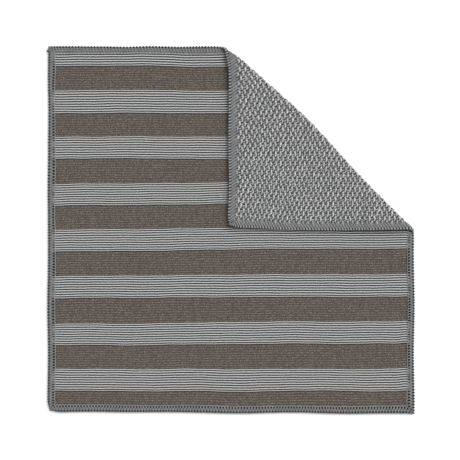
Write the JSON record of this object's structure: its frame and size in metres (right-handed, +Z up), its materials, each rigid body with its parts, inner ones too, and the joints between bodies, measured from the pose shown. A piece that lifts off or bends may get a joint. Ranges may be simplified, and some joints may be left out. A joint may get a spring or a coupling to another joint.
{
  "type": "knitted microfiber dish cloth with a folded corner",
  "caption": "Square double-faced knitted cloth with ribbed stripes, overlocked edges and a corner rolled back over its front.",
  "frame": {"origin": "centre of the cloth's outline, on the surface it lies on", "axes": "+Z up from the surface, +X to the cloth's right edge, +Y to its top edge; the folded corner is at +X +Y"},
  "size_m": [0.3006, 0.3018, 0.0087],
  "materials": {
    "knit": "matt brushed microfiber knit: light grey ribbed bands and taupe bands in front, grey loops behind",
    "edge_thread": "matt grey sewing thread"
  },
  "bodies": {
    "root": {"knit_cloth": "knit", "overlock_top": "edge_thread", "overlock_right": "edge_thread", "overlock_bottom": "edge_thread", "overlock_left": "edge_thread"}
  },
  "joints": []
}
